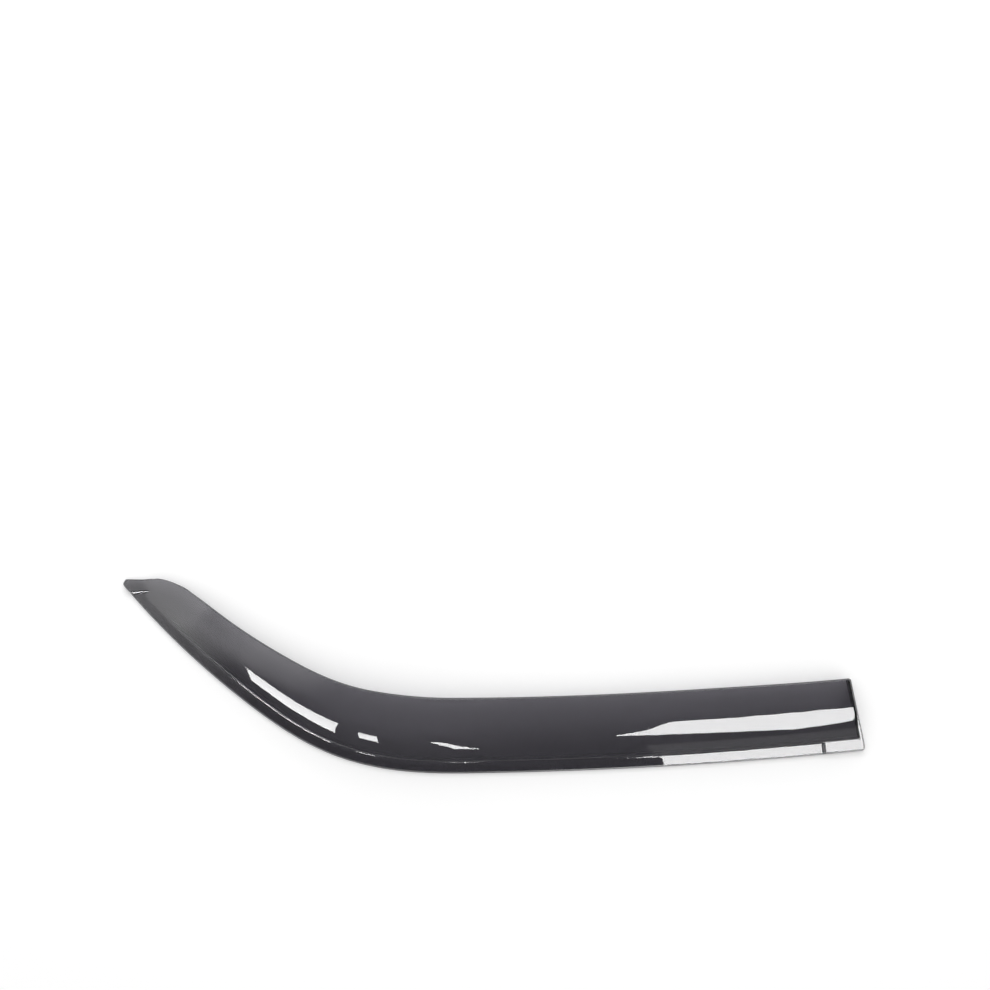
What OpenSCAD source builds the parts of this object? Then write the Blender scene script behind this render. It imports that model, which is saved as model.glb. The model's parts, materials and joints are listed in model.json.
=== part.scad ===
// Window rain deflector for the front side door of a car.
// It is one moulding of smoke-tinted acrylic, as thick in every place. A flat flange is taped to
// the door frame, a riser carries the shield out from it, and the shield ends in a free edge that
// stands off the glass. An end wall closes the rear, and the tip runs out in a small flat tab.
// The part lies on its flange with the outside face up. The tip points to -x and the rear end to
// +x, the flange's outer edge faces -y and the free edge faces +y. Sizes are in millimetres.
// Places on the part are given by s, the distance along the flange's outer edge from the tip,
// and q, the distance from that edge, square to it.

/* [Sheet] */
// Thickness of the moulded sheet
wall = 2.5; // [2:0.1:3]

/* [Course of the flange's outer edge] */
// Length of the front run, from the tip to the bend
front_run = 234; // [190:2:290]
// Length of the bend
bend_run = 266; // [210:2:330]
// Length of the rear run, from the bend to the rear end
rear_run = 462; // [360:2:560]
// Fall of the edge at the tip, in degrees
tip_fall = 48.8; // [42:0.2:55]
// Turn of the edge ahead of the middle of the bend, in degrees
front_turn = 20.6; // [14:0.2:26]
// Extra turn of the edge in the bend, in degrees
bend_turn = 27.5; // [20:0.5:34]
// Turn of the edge behind the middle of the bend, in degrees
rear_turn = 6.5; // [3:0.5:10]

/* [Shield] */
// Width of the whole part by the tip
tip_w = 54; // [50:1:60]
// Width of the whole part behind the bend
full_w = 85.5; // [78:0.5:96]
// Width of the whole part at the rear end
end_w = 83.5; // [74:0.5:96]
// Distance from the tip to where the part starts to widen
widen_at = 15; // [0:5:60]
// Length over which the part widens
widen_run = 415; // [300:5:500]
// Length over which the width changes at the rear
narrow_run = 200; // [100:10:400]
// Stand-off of the free edge at the tip
tip_rise = 9; // [7:0.5:11]
// Stand-off of the free edge on the runs
run_rise = 18.5; // [15:0.5:24]
// Length over which the stand-off grows from the tip
rise_run = 110; // [80:5:160]
// Extra stand-off in the middle of the bend
bend_swell = 8; // [0:0.5:12]
// Reach of that extra stand-off to each side of the middle of the bend
swell_run = 260; // [180:10:320]
// Slope of the shield's face on the runs, in degrees, up towards the free edge
face_slope = -1; // [-3:0.5:6]
// Distance from the outer edge to the knee by the tip
tip_knee = 35; // [33:0.5:37]
// Distance from the outer edge to the knee behind the bend
full_knee = 35.5; // [33:0.5:46]
// Half of the length over which the knee bends by the tip
tip_knee_soft = 3; // [2:0.5:5]
// Half of the length over which the knee bends behind the bend
full_knee_soft = 15.5; // [8:0.5:18]
// Length over which the knee grows softer from the tip
soften_run = 200; // [120:10:300]

/* [Flange] */
// Width of the flange
flange_w = 12; // [10:0.5:14]
// Half of the length over which the crease between flange and riser bends
crease_soft = 2; // [1.5:0.1:2.5]
// Height of the tip joggle, the step up from the flange to the tip tab
tip_joggle_h = 2; // [1:0.1:2.5]
// Length of the tip joggle
tip_joggle_run = 6; // [5:0.5:8]
// Distance from the tip to the tip joggle
tip_joggle_at = 23; // [16:0.5:26]
// Height of the tail joggle, the step up from the flange to its last stretch
tail_joggle_h = 1.2; // [0.6:0.1:1.6]
// Length of the tail joggle
tail_joggle_run = 4; // [3:0.5:6]
// Distance from the tail joggle to the rear end
tail_joggle_back = 50.5; // [40:0.5:70]

/* [Tip] */
// Lean of the end cut from square, in degrees
tip_skew = 42; // [36:1:46]
// Length over which that lean dies out
skew_run = 120; // [110:5:160]
// Width of the tab at the end cut
tab_w = 20; // [18:0.5:23]
// Length over which the tab narrows to the flange
tab_run = 32; // [26:1:40]
// Width of the corner cut off the tab
cut_w = 7; // [4:0.5:10]
// Length of the corner cut off the tab
cut_run = 8; // [5:0.5:12]
// Width that the crown's round takes off the free edge
crown_w = 17; // [14:0.5:18]
// Length of the crown's round
crown_run = 34; // [28:1:44]

/* [Rear end] */
// Lean of the rear end's cut from square, in degrees
end_skew = 3; // [0:0.5:8]
// Width of the lip past the end wall's foot
lip_w = 2.5; // [2:0.5:9]
// Lean of the end wall from upright, in degrees
end_draft = 2; // [1:0.5:12]
// Outside radius of the end wall's top edge
end_top_r = 3.8; // [3.6:0.1:5]
// Radius at the end wall's foot
end_foot_r = 2; // [1.5:0.1:3]
// Radius of the flange's rear corner in plan
corner_r = 4; // [1:0.5:5]

/* [Hidden] */

run_len = front_run + bend_run + rear_run;
mid_bend = front_run + bend_run/2;
tail_joggle_at = run_len - tail_joggle_back;
course_step = 2;
course_count = ceil(run_len/course_step);
front_row_gap = 13;
bend_row_gap = 10;
rear_row_gap = 24;
least_row_gap = 0.6;
end_rows = 10;
end_row_gap = 3;
end_row_slack = 0.5;
shield_lines = 14;

// The sheet's edge is a half round, which passes through two rings of points between the skins
ring_depths = [wall/4, wall*3/4];
rim = sqrt(pow(wall/2, 2) - pow(wall/4, 2));

// Shape helpers
function share(t) = min(1, max(0, t));
function ease(t) = let (c = share(t)) c*c*(3 - 2*c);
function mix(a, b, t) = a + (b - a)*t;
function unit(v) = v/norm(v);
function toward(angle) = [cos(angle), sin(angle)];

// Course of the outer edge, walked in short steps along its heading
function heading(s) =
    -tip_fall + front_turn*share(s/mid_bend) + bend_turn*ease((s - front_run)/bend_run)
    + rear_turn*share((s - mid_bend)/(run_len - mid_bend));
course = [
    for (i = 0, p = [0, 0]; i <= course_count;
         p = p + course_step*toward(heading((i + 0.5)*course_step)), i = i + 1) p
];
function course_at(s) =
    let (t = s/course_step, i = max(0, min(course_count - 1, floor(t))))
    mix(course[i], course[i + 1], t - i);

// Plan position of a place on the part
function skew(s) = tip_skew*(1 - ease(s/skew_run));
function plan(s, q) =
    course_at(s) + toward(heading(s) + 90 - skew(s))*q/cos(skew(s));

// Widths that change along the part
function widening(s) = ease((s - widen_at)/widen_run);
function crown_cut(s) = crown_w*(1 - sqrt(1 - pow(1 - share(s/crown_run), 2)));
function narrowing(s) = ease((s - run_len + narrow_run)/narrow_run);
function part_w(s) =
    mix(tip_w, full_w, widening(s)) - (full_w - end_w)*narrowing(s) - crown_cut(s);
function flange_at(s) = mix(tab_w, flange_w, share(s/tab_run));
function edge_at(s) = cut_w*(1 - share(s/cut_run));
function knee_at(s) = mix(tip_knee, full_knee, widening(s));
function knee_soft_at(s) = mix(tip_knee_soft, full_knee_soft, ease(s/soften_run));

// Heights that change along the part
function stand_off(s) = mix(tip_rise, run_rise, ease(s/rise_run));
function swell(s) = bend_swell*(1 + cos(180*min(1, abs(s - mid_bend)/swell_run)))/2;
function flange_level(s) =
    tip_joggle_h*(1 - ease((s - tip_joggle_at)/tip_joggle_run))
    + tail_joggle_h*ease((s - tail_joggle_at)/tail_joggle_run);

// Slopes of the section at s: on the riser, on the face, and what the swell adds to both
function section(s) =
    let (reach = part_w(s) - flange_at(s), face = tan(face_slope))
    [face + (stand_off(s) - face*reach)/(knee_at(s) - flange_at(s)), face, swell(s)/reach];

// Height of the riser and face above the tape's plane, and the place where the flange meets them
function climb(s, q) =
    let (m = section(s), soft = knee_soft_at(s), bend_at = knee_at(s) - soft,
         t = share((q - bend_at)/(2*soft)), x = q - flange_at(s),
         steep = min(x, bend_at - flange_at(s)) + 2*soft*(t - pow(t, 3) + pow(t, 4)/2))
    (m[1] + m[2])*x + (m[0] - m[1])*steep;
function crease_at(s) = let (m = section(s)) flange_at(s) + flange_level(s)/(m[0] + m[2]);

// Height of the skin at any place ahead of the end wall
function height(s, q) =
    let (m = section(s), x = q - crease_at(s))
    x < -crease_soft ? flange_level(s)
    : x < crease_soft ? flange_level(s) + (m[0] + m[2])*pow(x + crease_soft, 2)/(4*crease_soft)
    : climb(s, q);

// Lines that run along the part: across the flange, round the crease, and over the shield
function lines(s) =
    let (a = edge_at(s) + rim, b = crease_at(s) - crease_soft, c = crease_at(s) + crease_soft,
         d = part_w(s) - rim)
    concat([for (t = [0, 0.06, 0.2, 0.5, 0.8, 1]) mix(a, b, t)],
           [for (i = [1:3]) mix(b, c, i/3)],
           [for (i = [1:shield_lines]) mix(c, d, i/shield_lines)]);
function place(s, q, z) = let (p = plan(s, q)) [p[0], p[1], wall + z];

// Sections ahead of the end wall, closer together at the crown and at the joggles
function sorted(v) =
    len(v) < 2 ? v
    : let (pivot = v[floor(len(v)/2)])
      concat(sorted([for (x = v) if (x < pivot) x]), [for (x = v) if (x == pivot) x],
             sorted([for (x = v) if (x > pivot) x]));
function spread(v, gap) =
    [for (i = 0, last = -gap; i < len(v); last = v[i] - last < gap ? last : v[i], i = i + 1)
         if (v[i] - last >= gap) v[i]];
function joggle_rows(s, run) = [for (i = [-1:5]) s + run*i/4];
front_rows = [for (s = [crown_run:front_row_gap:front_run]) s];
bend_rows = [for (s = [front_run:bend_row_gap:front_run + bend_run]) s];
rear_rows = [for (s = [front_run + bend_run:rear_row_gap:tail_joggle_at]) s];
rows = spread(
    sorted(concat([for (i = [0:8]) crown_run*pow(i/8, 2)],
                  joggle_rows(tip_joggle_at, tip_joggle_run), front_rows, bend_rows, rear_rows,
                  joggle_rows(tail_joggle_at, tail_joggle_run),
                  [mix(tail_joggle_at, run_len, 0.4)])),
    least_row_gap);

// The rear end is cut a little off square, with a round corner on the flange. The end wall turns
// down from the shield in an arc, falls, and turns out into the lip in another.
function end_cut(q) = q*tan(end_skew);
function end_corner(q) =
    corner_r - sqrt(pow(corner_r, 2) - pow(max(0, corner_r - q), 2));
function end_row(k) =
    [for (q = lines(run_len))
        let (turn_r = end_top_r + end_foot_r, upright = 90 - end_draft,
             foot = run_len - end_cut(q) - lip_w,
             fall = height(run_len, q) - tail_joggle_h,
             straight = max(0, fall - turn_r*(1 - cos(upright))),
             turn = straight > 0 ? upright : acos(1 - fall/turn_r),
             reach = turn_r*sin(turn) + straight/tan(upright),
             half = end_rows/2 - 1,
             x = k <= half ? end_top_r*sin(turn*k/half)
                 : reach - end_foot_r*sin(turn*(end_rows - 1 - k)/half),
             drop = k <= half ? end_top_r*(1 - cos(turn*k/half))
                    : fall - end_foot_r*(1 - cos(turn*(end_rows - 1 - k)/half)),
             slack = max(end_row_slack, end_row_gap - reach),
             s = foot - reach - slack + x + slack*k/(end_rows - 1))
        place(s, q, tail_joggle_h + fall - drop)];
lip_row = [for (q = lines(run_len))
    place(run_len - rim - end_cut(q) - end_corner(q), q, tail_joggle_h)];

// Outer skin, and the inner skin one wall below it, square to the surface
outer = concat([for (s = rows) [for (q = lines(s)) place(s, q, height(s, q))]],
               [for (k = [0:end_rows - 1]) end_row(k)], [lip_row]);
row_count = len(outer);
line_count = len(outer[0]);
function skin_normal(i, j) =
    let (a = outer[min(row_count - 1, i + 1)][j] - outer[max(0, i - 1)][j],
         b = outer[i][min(line_count - 1, j + 1)] - outer[i][max(0, j - 1)])
    unit(cross(a, b));
normals = [for (i = [0:row_count - 1]) [for (j = [0:line_count - 1]) skin_normal(i, j)]];
inner = [for (i = [0:row_count - 1])
            [for (j = [0:line_count - 1]) outer[i][j] - wall*normals[i][j]]];

// Grid places along the sheet's edge all round, and the rings of points that round it
edge = concat([for (j = [0:line_count - 1]) [0, j]],
              [for (i = [1:row_count - 1]) [i, line_count - 1]],
              [for (j = [line_count - 2:-1:0]) [row_count - 1, j]],
              [for (i = [row_count - 2:-1:1]) [i, 0]]);
edge_count = len(edge);
function on_edge(k) = let (e = edge[(k + edge_count) % edge_count]) outer[e[0]][e[1]];
function edge_ring(depth) =
    [for (k = [0:edge_count - 1])
        let (e = edge[k], n = normals[e[0]][e[1]],
             out = unit(cross(n, on_edge(k + 1) - on_edge(k - 1))))
        on_edge(k) - depth*n + rim*out];

// Points and faces of the closed sheet
skin_size = row_count*line_count;
raw_points = concat([for (r = outer) each r], [for (r = inner) each r],
                    edge_ring(ring_depths[0]), edge_ring(ring_depths[1]));
function outer_id(i, j) = i*line_count + j;
function inner_id(i, j) = skin_size + outer_id(i, j);
function ring_id(ring, k) =
    let (n = k % edge_count, e = edge[n])
    ring == 0 ? outer_id(e[0], e[1])
    : ring == 3 ? inner_id(e[0], e[1])
    : 2*skin_size + (ring - 1)*edge_count + n;
skin_faces = [for (i = [0:row_count - 2]) for (j = [0:line_count - 2]) each [
    [outer_id(i, j), outer_id(i, j + 1), outer_id(i + 1, j + 1)],
    [outer_id(i, j), outer_id(i + 1, j + 1), outer_id(i + 1, j)],
    [inner_id(i, j), inner_id(i + 1, j + 1), inner_id(i, j + 1)],
    [inner_id(i, j), inner_id(i + 1, j), inner_id(i + 1, j + 1)]]];
edge_faces = [for (ring = [0:2]) for (k = [0:edge_count - 1]) each [
    [ring_id(ring, k + 1), ring_id(ring, k), ring_id(ring + 1, k)],
    [ring_id(ring, k + 1), ring_id(ring + 1, k), ring_id(ring + 1, k + 1)]]];

// The origin is under the middle of the part's box, on the surface that the flange lies on
xs = [for (p = raw_points) p[0]];
ys = [for (p = raw_points) p[1]];
middle = [(min(xs) + max(xs))/2, (min(ys) + max(ys))/2, 0];
points = [for (p = raw_points) p - middle];

module deflector() {
    color([0.22, 0.22, 0.24])
        polyhedron(points = points, faces = concat(skin_faces, edge_faces), convexity = 8);
}

deflector();
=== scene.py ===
import json
import math

import bpy
from mathutils import Matrix, Vector

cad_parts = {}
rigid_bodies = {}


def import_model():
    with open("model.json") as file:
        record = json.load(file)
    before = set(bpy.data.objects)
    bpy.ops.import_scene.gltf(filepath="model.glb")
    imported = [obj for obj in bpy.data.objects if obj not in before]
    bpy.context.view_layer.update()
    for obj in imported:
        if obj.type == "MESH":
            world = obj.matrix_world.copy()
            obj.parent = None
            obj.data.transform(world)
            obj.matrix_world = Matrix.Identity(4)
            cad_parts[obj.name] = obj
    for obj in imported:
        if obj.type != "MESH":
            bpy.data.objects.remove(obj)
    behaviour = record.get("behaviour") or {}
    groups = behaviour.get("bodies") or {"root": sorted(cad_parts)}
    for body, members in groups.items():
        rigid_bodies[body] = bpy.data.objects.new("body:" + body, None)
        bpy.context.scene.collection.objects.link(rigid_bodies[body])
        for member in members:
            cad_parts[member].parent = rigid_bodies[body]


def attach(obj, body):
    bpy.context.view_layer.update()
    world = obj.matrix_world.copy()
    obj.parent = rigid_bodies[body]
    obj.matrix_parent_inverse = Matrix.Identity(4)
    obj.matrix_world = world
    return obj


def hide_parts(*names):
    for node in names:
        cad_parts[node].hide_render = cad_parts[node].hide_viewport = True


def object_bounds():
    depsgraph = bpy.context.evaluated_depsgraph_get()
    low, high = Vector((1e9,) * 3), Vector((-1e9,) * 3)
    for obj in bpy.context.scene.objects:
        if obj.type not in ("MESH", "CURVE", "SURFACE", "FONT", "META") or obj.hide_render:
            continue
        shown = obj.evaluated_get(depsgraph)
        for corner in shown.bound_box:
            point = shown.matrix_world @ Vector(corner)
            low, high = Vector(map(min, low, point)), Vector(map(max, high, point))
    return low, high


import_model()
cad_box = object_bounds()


# The moulded shield. It is one sheet of smoke acrylic, 2.5 mm thick, formed hot over a mould: a
# flat flange for the tape, a riser, a face with a soft knee between them, an end wall at the rear
# and a small flat tab at the tip. Ribs are drawn across it and joined up to make its outer skin.
MM = 0.001
WALL = 2.5
RUN_LENGTH, MID_BEND, FRONT_RUN, BEND_RUN = 962, 367, 234, 266
TIP_HEADING, FRONT_TURN, BEND_TURN, REAR_TURN = -48.8, 20.6, 27.5, 6.5
FLANGE_WIDTH, TIP_WIDTH, FULL_WIDTH, END_WIDTH = 12, 54, 85.5, 83.5
WIDEN_AT, WIDEN_RUN, NARROW_RUN = 15, 415, 200
TAB_WIDTH, TAB_RUN, CUT_WIDTH, CUT_RUN = 20, 32, 7, 8
CROWN_WIDTH, CROWN_RUN, TIP_SKEW, SKEW_RUN = 17, 34, 42, 120
TIP_RISE, RUN_RISE, RISE_RUN, BEND_SWELL, SWELL_RUN = 9, 18.5, 110, 8, 260
TIP_KNEE, FULL_KNEE = 35, 35.5
TIP_KNEE_SOFT, FULL_KNEE_SOFT, SOFTEN_RUN = 3, 15.5, 200
FACE_SLOPE = math.tan(math.radians(-1))
CREASE_SOFT = 1
TIP_JOGGLE, TIP_JOGGLE_AT, TIP_JOGGLE_RUN = 2, 20.6, 4.2
TAIL_JOGGLE, TAIL_JOGGLE_AT, TAIL_JOGGLE_RUN = 1.2, RUN_LENGTH - 50.5, 4
END_CUT = math.tan(math.radians(3))
LIP_WIDTH, CORNER_RADIUS = 3.5, 4
END_LEAN, END_TOP_RADIUS, END_FOOT_RADIUS = 2, 3.8, 1


def share(t):
    return min(1.0, max(0.0, t))


def ease(t):
    return share(t) ** 2 * (3 - 2 * share(t))


def mix(a, b, t):
    return a + (b - a) * t


def heading(s):
    """The direction of the flange's outer edge at s, in degrees."""
    front = FRONT_TURN * share(s / MID_BEND)
    bend = BEND_TURN * ease((s - FRONT_RUN) / BEND_RUN)
    return TIP_HEADING + front + bend + REAR_TURN * share((s - MID_BEND) / (RUN_LENGTH - MID_BEND))


def toward(angle):
    return Vector((math.cos(math.radians(angle)), math.sin(math.radians(angle)), 0))


COURSE_STEP = 2
course = [Vector((0, 0, 0))]
for step in range(RUN_LENGTH // COURSE_STEP):
    course.append(course[-1] + COURSE_STEP * toward(heading((step + 0.5) * COURSE_STEP)))


def place(s, q, z):
    """The point at s along the flange's outer edge, q in from it and z up, in millimetres."""
    at = min(len(course) - 2, max(0, int(s // COURSE_STEP)))
    skew = TIP_SKEW * (1 - ease(s / SKEW_RUN))
    along = course[at].lerp(course[at + 1], s / COURSE_STEP - at)
    inward = toward(heading(s) + 90 - skew) * q / math.cos(math.radians(skew))
    return along + inward + Vector((0, 0, z))


def widening(s):
    return ease((s - WIDEN_AT) / WIDEN_RUN)


def width(s):
    """The whole width at s, less the round of the crown by the tip."""
    crown = CROWN_WIDTH * (1 - math.sqrt(1 - (1 - share(s / CROWN_RUN)) ** 2))
    narrowing = (FULL_WIDTH - END_WIDTH) * ease((s - RUN_LENGTH + NARROW_RUN) / NARROW_RUN)
    return mix(TIP_WIDTH, FULL_WIDTH, widening(s)) - narrowing - crown


def flange_width(s):
    return mix(TAB_WIDTH, FLANGE_WIDTH, share(s / TAB_RUN))


def flange_level(s):
    """The height of the flange at s, stepped up at the tip's and the tail's joggle."""
    return (TIP_JOGGLE * (1 - ease((s - TIP_JOGGLE_AT) / TIP_JOGGLE_RUN))
            + TAIL_JOGGLE * ease((s - TAIL_JOGGLE_AT) / TAIL_JOGGLE_RUN))


def knee(s):
    """The middle of the knee at s, and half of the width over which it bends."""
    soft = mix(TIP_KNEE_SOFT, FULL_KNEE_SOFT, ease(s / SOFTEN_RUN))
    return mix(TIP_KNEE, FULL_KNEE, widening(s)), soft


def slopes(s):
    """The riser's slope and the face's slope at s."""
    reach = width(s) - flange_width(s)
    rise = mix(TIP_RISE, RUN_RISE, ease(s / RISE_RUN))
    swell = BEND_SWELL * (1 + math.cos(math.pi * min(1, abs(s - MID_BEND) / SWELL_RUN))) / 2
    riser = FACE_SLOPE + (rise - FACE_SLOPE * reach) / (knee(s)[0] - flange_width(s))
    return riser + swell / reach, FACE_SLOPE + swell / reach


def crease(s):
    return flange_width(s) + flange_level(s) / slopes(s)[0]


def height(s, q):
    """The height of the outer skin: flat, round the crease, up the riser and over the knee."""
    riser, face = slopes(s)
    past = q - crease(s)
    if past < -CREASE_SOFT:
        return flange_level(s)
    if past < CREASE_SOFT:
        return flange_level(s) + riser * (past + CREASE_SOFT) ** 2 / (4 * CREASE_SOFT)
    middle, soft = knee(s)
    start = middle - soft
    t = share((q - start) / (2 * soft))
    x = q - flange_width(s)
    steep = min(x, start - flange_width(s)) + 2 * soft * (t - t ** 3 + t ** 4 / 2)
    return face * x + (riser - face) * steep


OUTER_LINE, FREE_LINE, LIP_LINE = 1.3, 1.6, 1.2
SHIELD_LINES = 13


def lines(s):
    """Distances from the outer edge at which a rib has its points."""
    edge = CUT_WIDTH * (1 - share(s / CUT_RUN))
    low, high, far = crease(s) - CREASE_SOFT, crease(s) + CREASE_SOFT, width(s)
    near = min(OUTER_LINE, (low - edge) / 4)
    across = [edge, edge + near, mix(edge, low, 0.5), mix(edge, low, 0.82)]
    fillet = [mix(low, high, t) for t in (0, 0.33, 0.67, 1)]
    shield = [mix(high, far - FREE_LINE, t / SHIELD_LINES) for t in range(1, SHIELD_LINES + 1)]
    return across + fillet + shield + [far]


END_RIBS, END_RIB_RUN, LEAST_SLACK = 9, 3, 0.5


def end_rib(k):
    """One rib of the end wall: an arc at its top, its fall, and an arc at its foot.

    The slack keeps the ribs apart where the wall is low and steep."""
    rib = []
    last, half = END_RIBS - 1, END_RIBS // 2
    upright = math.radians(90 - END_LEAN)
    turn_radius = END_TOP_RADIUS + END_FOOT_RADIUS
    for q in lines(RUN_LENGTH):
        foot = RUN_LENGTH - q * END_CUT - LIP_WIDTH
        fall = height(RUN_LENGTH, q) - TAIL_JOGGLE
        straight = max(0, fall - turn_radius * (1 - math.cos(upright)))
        turn = upright if straight > 0 else math.acos(1 - fall / turn_radius)
        reach = turn_radius * math.sin(turn) + straight / math.tan(upright)
        if k <= half:
            x = END_TOP_RADIUS * math.sin(turn * k / half)
            drop = END_TOP_RADIUS * (1 - math.cos(turn * k / half))
        else:
            left = turn * (last - k) / (last - 1 - half)
            x = reach - END_FOOT_RADIUS * math.sin(left)
            drop = fall - END_FOOT_RADIUS * (1 - math.cos(left))
        slack = max(LEAST_SLACK, END_RIB_RUN - reach)
        s = foot - reach - slack + x + slack * k / last
        rib.append(place(s, q, TAIL_JOGGLE + fall - drop))
    return rib


def lip_rib(back):
    """A rib on the lip, some way back from the rear end."""
    rib = []
    for q in lines(RUN_LENGTH):
        corner = CORNER_RADIUS - math.sqrt(CORNER_RADIUS ** 2 - max(0, CORNER_RADIUS - q) ** 2)
        rib.append(place(RUN_LENGTH - back - q * END_CUT - corner, q, TAIL_JOGGLE))
    return rib


# Ribs stand close together at the tip and at both joggles, and wider apart on the runs.
BEND_END = FRONT_RUN + BEND_RUN
stations = [0, 1.5, 5, 9, 14, 18, 19.8, 20.8, 21.7, 22.7, 23.7, 24.6, 25.6, 28, 32, 38, 45, 54, 64]
stations += [*range(76, FRONT_RUN, 13), *range(FRONT_RUN, BEND_END, 12), *range(BEND_END, 900, 25)]
stations += [908, 911, 912.5, 914.5, 916, 919, 931]
ribs = [[place(s, q, height(s, q)) for q in lines(s)] for s in stations]
ribs += [end_rib(k) for k in range(END_RIBS)] + [lip_rib(LIP_LINE), lip_rib(0)]

corner = cad_box[0]
leftmost = min(point.x for rib in ribs for point in rib)
nearest = min(point.y for rib in ribs for point in rib)
home = Vector((corner.x / MM - leftmost, corner.y / MM - nearest, WALL))

bpy.ops.object.select_all(action="DESELECT")
bpy.ops.mesh.primitive_plane_add(size=MM)
shield = bpy.context.object
shield.name = "shield"
bpy.ops.object.mode_set(mode="EDIT")
bpy.ops.mesh.delete(type="VERT")
for rib in ribs:
    points = [(point + home) * MM for point in rib]
    bpy.ops.mesh.select_all(action="DESELECT")
    bpy.ops.mesh.primitive_plane_add(size=MM, location=points[0])
    bpy.ops.mesh.merge(type="CENTER")
    for here, onward in zip(points, points[1:]):
        bpy.ops.mesh.extrude_region_move(TRANSFORM_OT_translate={"value": onward - here})
bpy.ops.mesh.select_all(action="SELECT")
bpy.ops.mesh.bridge_edge_loops()
bpy.ops.mesh.select_all(action="SELECT")
bpy.ops.mesh.normals_make_consistent(inside=False)
bpy.ops.object.mode_set(mode="OBJECT")
if sum(face.normal.z for face in shield.data.polygons) < 0:
    bpy.ops.object.mode_set(mode="EDIT")
    bpy.ops.mesh.flip_normals()
    bpy.ops.object.mode_set(mode="OBJECT")


def painted(name):
    finish = bpy.data.materials.new(name)
    finish.use_nodes = True
    return finish, finish.node_tree.nodes, finish.node_tree.links


def fill(target, **values):
    for name, value in values.items():
        target.inputs[name.replace("_", " ")].default_value = value
    return target


def node(kind, **values):
    return fill(nodes.new("ShaderNode" + kind), **values)


def ranged(source, low, high, to_low, to_high):
    """The source eased from one range into another."""
    new = node("MapRange", From_Min=low, From_Max=high, To_Min=to_low, To_Max=to_high)
    new.interpolation_type = "SMOOTHSTEP"
    links.new(source, new.inputs["Value"])
    return new.outputs["Result"]


def combined(operation, *sources):
    """The sources, sockets or numbers, put together one after another by the operation."""
    total = sources[0]
    for source in sources[1:]:
        new = node("Math")
        new.operation = operation
        links.new(total, new.inputs[0])
        if isinstance(source, float):
            new.inputs[1].default_value = source
        else:
            links.new(source, new.inputs[1])
        total = new.outputs[0]
    return total


# The acrylic: gloss outside, dark by its tint and depth, with faint smudges, hairlines and dust.
# A hazy band lies along the foot of the riser, and stops short of the tip's joggle.
ACRYLIC_IOR = 1.49
HAZE, HAZE_LOW, HAZE_HIGH, HAZE_FADE = 0.4, 0.0037, 0.0042, 0.0004
HAZE_STARTS, HAZE_FULL = -0.39, -0.37
acrylic, nodes, links = painted("smoke_acrylic")
shader = fill(nodes["Principled BSDF"], Base_Color=(0.435, 0.422, 0.46, 1), IOR=ACRYLIC_IOR,
              Transmission_Weight=1)
smoke = node("VolumeAbsorption", Color=(0.8, 0.8, 0.805, 1), Density=2050)
links.new(smoke.outputs["Volume"], nodes["Material Output"].inputs["Volume"])
surface = node("TexCoord").outputs["Object"]
wave = node("TexNoise", Scale=28, Detail=2)
smudge = node("TexNoise", Scale=45, Detail=4)
streaked = node("Mapping", Scale=(6, 500, 50), Rotation=(0, 0, 0.3))
hairline = node("TexNoise", Scale=1, Detail=1)
dust = node("TexVoronoi", Scale=140)
spot = node("SeparateXYZ")
for texture in (wave, smudge, streaked, dust, spot):
    links.new(surface, texture.inputs["Vector"])
links.new(streaked.outputs["Vector"], hairline.inputs["Vector"])
haze_in = ranged(spot.outputs["Z"], HAZE_LOW, HAZE_LOW + HAZE_FADE, 0, HAZE)
haze_out = ranged(spot.outputs["Z"], HAZE_HIGH, HAZE_HIGH + HAZE_FADE, 0, -HAZE)
past_tip = ranged(spot.outputs["X"], HAZE_STARTS, HAZE_FULL, 0, 1)
gloss = combined(
    "ADD",
    ranged(smudge.outputs["Fac"], 0.45, 0.8, 0.01, 0.035),
    ranged(hairline.outputs["Fac"], 0.7, 0.78, 0, 0.08),
    ranged(dust.outputs["Distance"], 0.02, 0.05, 0.25, 0),
    combined("MULTIPLY", combined("ADD", haze_in, haze_out), past_tip),
)
links.new(gloss, shader.inputs["Roughness"])
ripple = node("Bump", Strength=0.3, Distance=0.0005)
links.new(wave.outputs["Fac"], ripple.inputs["Height"])
links.new(ripple.outputs["Normal"], shader.inputs["Normal"])

# The sheet's cut edge: painted shade, dark and dull. The mixer's inputs 6 and 7 are its two
# colours.
# The dark colour stands in for the dark look that light gives the edge of the tinted sheet.
edge_painted_shade, nodes, links = painted("edge_painted_shade")
shader = fill(nodes["Principled BSDF"], Roughness=0.4, IOR=ACRYLIC_IOR)
grain = node("TexNoise", Scale=300, Detail=3)
links.new(node("TexCoord").outputs["Object"], grain.inputs["Vector"])
shade = node("Mix")
shade.data_type = "RGBA"
shade.inputs[6].default_value = (0.03, 0.03, 0.033, 1)
shade.inputs[7].default_value = (0.1, 0.1, 0.11, 1)
links.new(grain.outputs["Fac"], shade.inputs[0])
links.new(shade.outputs[2], shader.inputs["Base Color"])

shield.data.materials.clear()
for finish in (acrylic, edge_painted_shade):
    shield.data.materials.append(finish)
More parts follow.
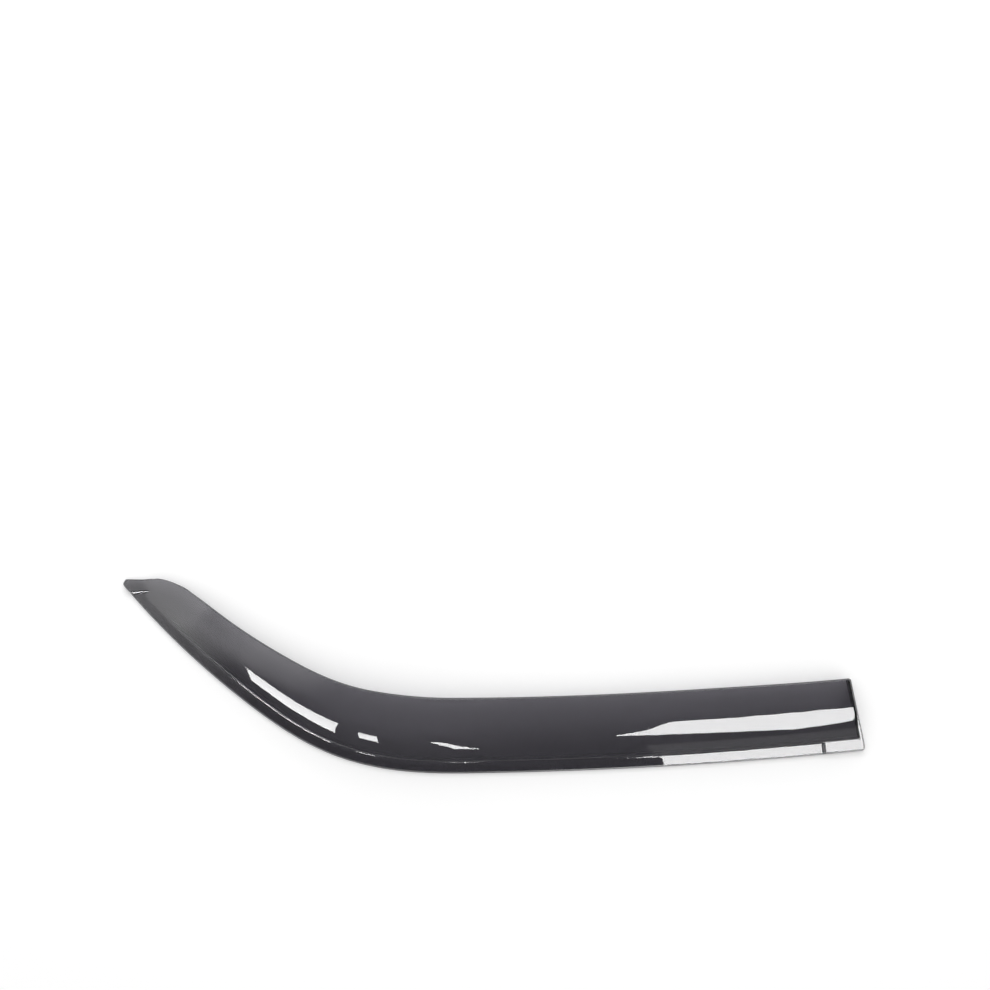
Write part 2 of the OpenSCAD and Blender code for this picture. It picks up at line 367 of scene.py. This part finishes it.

# The skin gets its wall, the rim and the faces beside it get the cut edge's painted shade, and all
# is smoothed.
SMOOTH_LEVELS = 2
wall = shield.modifiers.new("wall", "SOLIDIFY")
wall.thickness = WALL * MM
wall.offset = -1
wall.use_even_offset = True
wall.material_offset_rim = 1
bpy.ops.object.modifier_apply(modifier=wall.name)
bpy.ops.object.mode_set(mode="EDIT")
bpy.ops.mesh.select_mode(type="FACE")
bpy.ops.mesh.select_all(action="DESELECT")
shield.active_material_index = 1
bpy.ops.object.material_slot_select()
bpy.ops.mesh.select_more()
bpy.ops.object.material_slot_assign()
bpy.ops.object.mode_set(mode="OBJECT")
softened = shield.modifiers.new("softened", "SUBSURF")
softened.levels = softened.render_levels = SMOOTH_LEVELS
bpy.ops.object.modifier_apply(modifier=softened.name)
bpy.ops.object.shade_smooth()

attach(shield, "root")
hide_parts("deflector")


# The white table the deflector lies on. It is a plain matt board, larger than the view, and it
# keeps the faint shadow under the shield's free edge. Where it is seen, straight or through the
# acrylic or mirrored in it, a small glow lifts it to white.
TABLE_SIZE, TABLE_DROP, GLOW = 8, 0.0005, 0.06
bpy.ops.object.select_all(action="DESELECT")
bpy.ops.mesh.primitive_plane_add(size=TABLE_SIZE, location=(0, 0, -TABLE_DROP))
table = bpy.context.object
table.name = "table"
board, nodes, links = painted("white_board")
matt = fill(nodes["Principled BSDF"], Base_Color=(0.97, 0.97, 0.97, 1), Roughness=0.9,
            Specular_IOR_Level=0, Emission_Color=(1, 1, 1, 1))
path = node("LightPath")
rays = [path.outputs[f"Is {kind} Ray"] for kind in ("Camera", "Glossy", "Transmission")]
lift = combined("MULTIPLY", combined("MAXIMUM", *rays), GLOW)
links.new(lift, matt.inputs["Emission Strength"])
table.data.materials.append(board)


# Soft light. A wide box in front and one on the left make the two white patches, and two strips
# make the glints on the bend and the white line at the tip. They and the fill show as highlights
# only, and the table is lit evenly by the pale surround and by a lamp behind, which has none.
BRIGHT = 19


def softbox(name, place, back, across, size, radiance):
    """A lamp with its back towards back and its width along across."""
    bpy.ops.object.light_add(type="AREA", location=place)
    lamp = bpy.context.object
    lamp.name = name
    back = Vector(back).normalized()
    up = back.cross(Vector(across)).normalized()
    lamp.rotation_euler = Matrix((up.cross(back), up, back)).transposed().to_euler()
    lamp.data.shape = "RECTANGLE"
    lamp.data.size, lamp.data.size_y = size
    lamp.data.energy = radiance * math.pi * size[0] * size[1]
    return lamp


def pointed(azimuth, elevation):
    a, e = math.radians(azimuth), math.radians(elevation)
    return math.cos(e) * math.cos(a), math.cos(e) * math.sin(a), math.sin(e)


glints = [
    softbox("front_box", (0.694, -0.78, 1.646), pointed(-1.5, 21.9), (0, 1, 0),
            (1.69, 1.238), BRIGHT),
    softbox("left_box", (-1.17, -1.0623, 0.55), pointed(274, 20), (0.99, 0, -0.14),
            (0.84, 0.64), BRIGHT),
    softbox("strip_light", (-0.095, -2.073, 1.1), (-0.017, -0.906, 0.423), (0.97, -0.034, 0.22),
            (0.09, 0.75), BRIGHT),
    softbox("tip_strip", (-0.665, -1.56, 0.69), (-0.15, -0.91, 0.38), (0.98, -0.18, 0),
            (0.19, 0.46), BRIGHT),
    softbox("front_fill", (1.5, -2.2, 0.45), (0.35, -0.9, 0.25), (0.9, 0.35, 0),
            (1.9, 0.8), 0.65),
]
for lamp in glints:
    lamp.visible_diffuse = lamp.visible_transmission = False
back_light = softbox("back_light", (0.1, 1.5, 0.65), (-0.05, 0.9, 0.42), (1, 0.05, 0),
                     (2.6, 0.8), 2.6)
back_light.visible_glossy = False

# The surround is one pale level, but a mirrored ray finds it dark, and bright beyond the tip.
SURROUND, MIRRORED_DARK, MIRRORED_BRIGHT = 0.86, 0.15, 3
DARK_UNTIL, BRIGHT_FROM = 0.32, 0.52
world = bpy.data.worlds.new("studio")
bpy.context.scene.world = world
world.use_nodes = True
nodes, links = world.node_tree.nodes, world.node_tree.links
background = fill(nodes["Background"], Color=(1, 1, 1, 1))
path = node("LightPath")
mirrored = combined("SUBTRACT", path.outputs["Is Glossy Ray"], path.outputs["Is Transmission Ray"])
mirrored.node.use_clamp = True
toward_tip = node("VectorMath")
toward_tip.operation = "DOT_PRODUCT"
toward_tip.inputs[1].default_value = (-0.9, 0.6, 0.15)
links.new(node("TexCoord").outputs["Generated"], toward_tip.inputs[0])
level = node("Mix", A=SURROUND)
links.new(mirrored, level.inputs["Factor"])
found = ranged(toward_tip.outputs["Value"], DARK_UNTIL, BRIGHT_FROM, MIRRORED_DARK, MIRRORED_BRIGHT)
links.new(found, level.inputs["B"])
links.new(level.outputs["Result"], background.inputs["Strength"])


# The view: nearly straight down on the part, from a little in front of it. Its place, tilt and
# lens put the tip, the bend and both rear corners where the photograph has them.
VIEW_AT, VIEW_TILT, LENS, SENSOR = (0.00685, -0.1657, 1.6604), math.radians(13), 50.909, 36
bpy.ops.object.camera_add(location=VIEW_AT, rotation=(VIEW_TILT, 0, 0))
view = bpy.context.object
view.data.lens = LENS
view.data.sensor_width = SENSOR
bpy.context.scene.camera = view
bpy.context.scene.view_settings.view_transform = "Standard"
